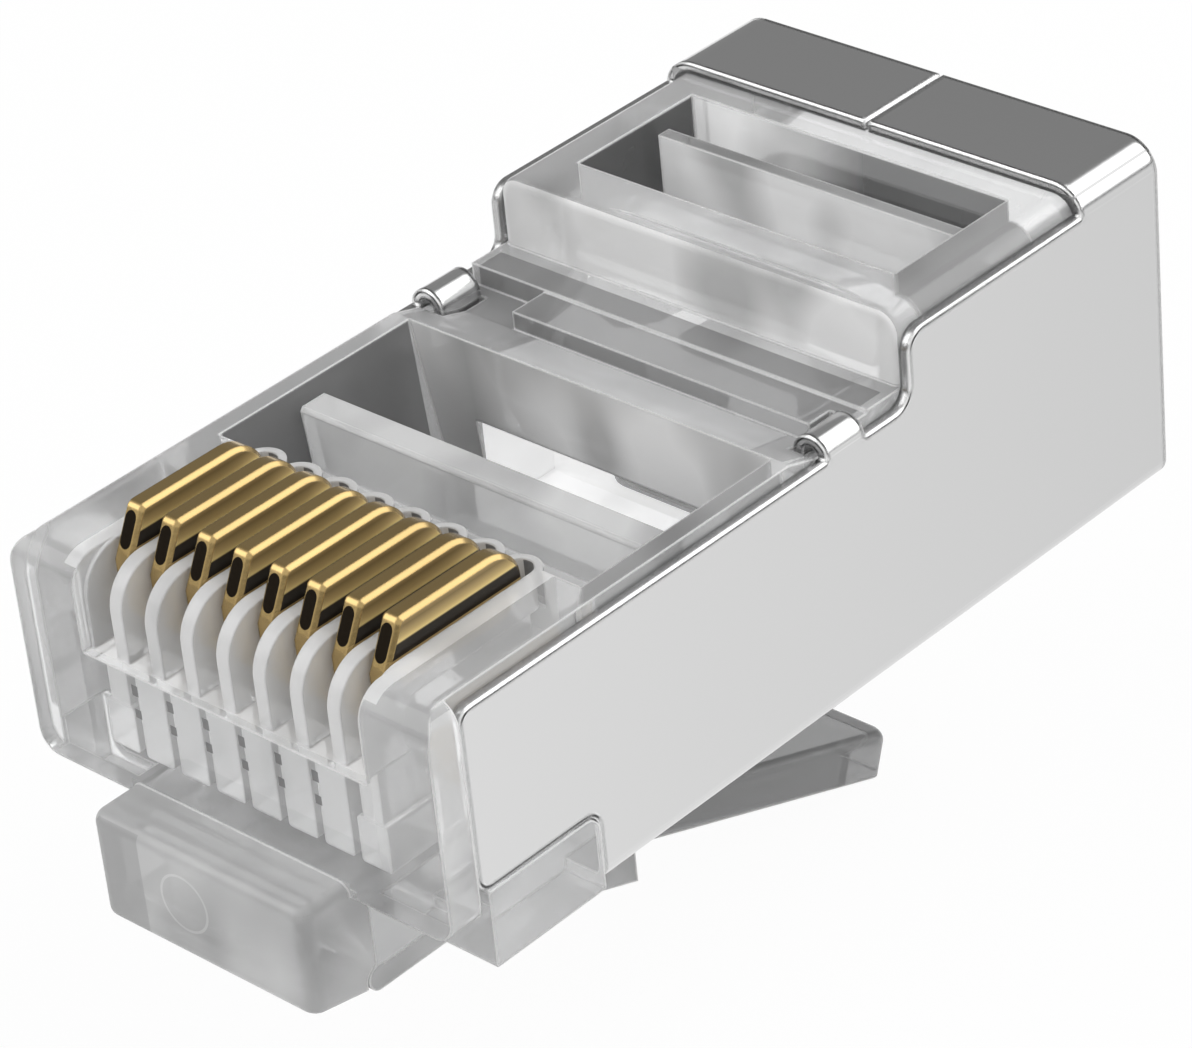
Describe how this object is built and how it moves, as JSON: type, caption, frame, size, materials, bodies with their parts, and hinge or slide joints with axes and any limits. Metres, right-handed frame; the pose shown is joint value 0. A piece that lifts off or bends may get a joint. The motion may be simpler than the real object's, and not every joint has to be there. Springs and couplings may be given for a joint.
{
  "type": "rj45 modular plug",
  "caption": "Shielded modular plug with a clear moulded body, blade contacts, sprung latch and folded metal shell, uncrimped and without cable.",
  "frame": {"origin": "on the nose's front face, at mid width, level with the underside of the shield", "axes": "+Y from the nose to the cable end, +Z towards the contacts, +X across the width"},
  "size_m": [0.0116, 0.024, 0.015],
  "materials": {
    "clear_plastic": "clear polycarbonate",
    "nickel_sheet": "bright nickel-plated sheet",
    "gold_plate": "gold-plated phosphor bronze"
  },
  "bodies": {
    "housing": {"housing": "clear_plastic", "shield": "nickel_sheet"},
    "latch": {"latch": "clear_plastic"},
    "conductor_strain_relief": {"conductor_strain_relief": "clear_plastic"},
    "jacket_strain_relief": {"jacket_strain_relief": "clear_plastic"},
    "contact_1": {"contact_1": "gold_plate"},
    "contact_2": {"contact_2": "gold_plate"},
    "contact_3": {"contact_3": "gold_plate"},
    "contact_4": {"contact_4": "gold_plate"},
    "contact_5": {"contact_5": "gold_plate"},
    "contact_6": {"contact_6": "gold_plate"},
    "contact_7": {"contact_7": "gold_plate"},
    "contact_8": {"contact_8": "gold_plate"}
  },
  "joints": [
    {"name": "latch_flex", "type": "hinge", "parent": "housing", "child": "latch", "pos_m": [0, 0.0005, -0.0011], "axis": [1, 0, 0], "range_deg": [0, 16], "stiffness_Nm_per_rad": 0.05},
    {"name": "conductor_bar_swing", "type": "hinge", "parent": "housing", "child": "conductor_strain_relief", "pos_m": [0, 0.00562, 0.00442], "axis": [-1, 0, 0], "range_deg": [0, 22]},
    {"name": "jacket_bar_swing", "type": "hinge", "parent": "housing", "child": "jacket_strain_relief", "pos_m": [0, 0.01585, 0.00612], "axis": [-1, 0, 0], "range_deg": [0, 30]},
    {"name": "contact_1_press", "type": "slide", "parent": "housing", "child": "contact_1", "axis": [0, 0, -1], "range_m": [0, 0.001]},
    {"name": "contact_2_press", "type": "slide", "parent": "housing", "child": "contact_2", "axis": [0, 0, -1], "range_m": [0, 0.001]},
    {"name": "contact_3_press", "type": "slide", "parent": "housing", "child": "contact_3", "axis": [0, 0, -1], "range_m": [0, 0.001]},
    {"name": "contact_4_press", "type": "slide", "parent": "housing", "child": "contact_4", "axis": [0, 0, -1], "range_m": [0, 0.001]},
    {"name": "contact_5_press", "type": "slide", "parent": "housing", "child": "contact_5", "axis": [0, 0, -1], "range_m": [0, 0.001]},
    {"name": "contact_6_press", "type": "slide", "parent": "housing", "child": "contact_6", "axis": [0, 0, -1], "range_m": [0, 0.001]},
    {"name": "contact_7_press", "type": "slide", "parent": "housing", "child": "contact_7", "axis": [0, 0, -1], "range_m": [0, 0.001]},
    {"name": "contact_8_press", "type": "slide", "parent": "housing", "child": "contact_8", "axis": [0, 0, -1], "range_m": [0, 0.001]}
  ]
}
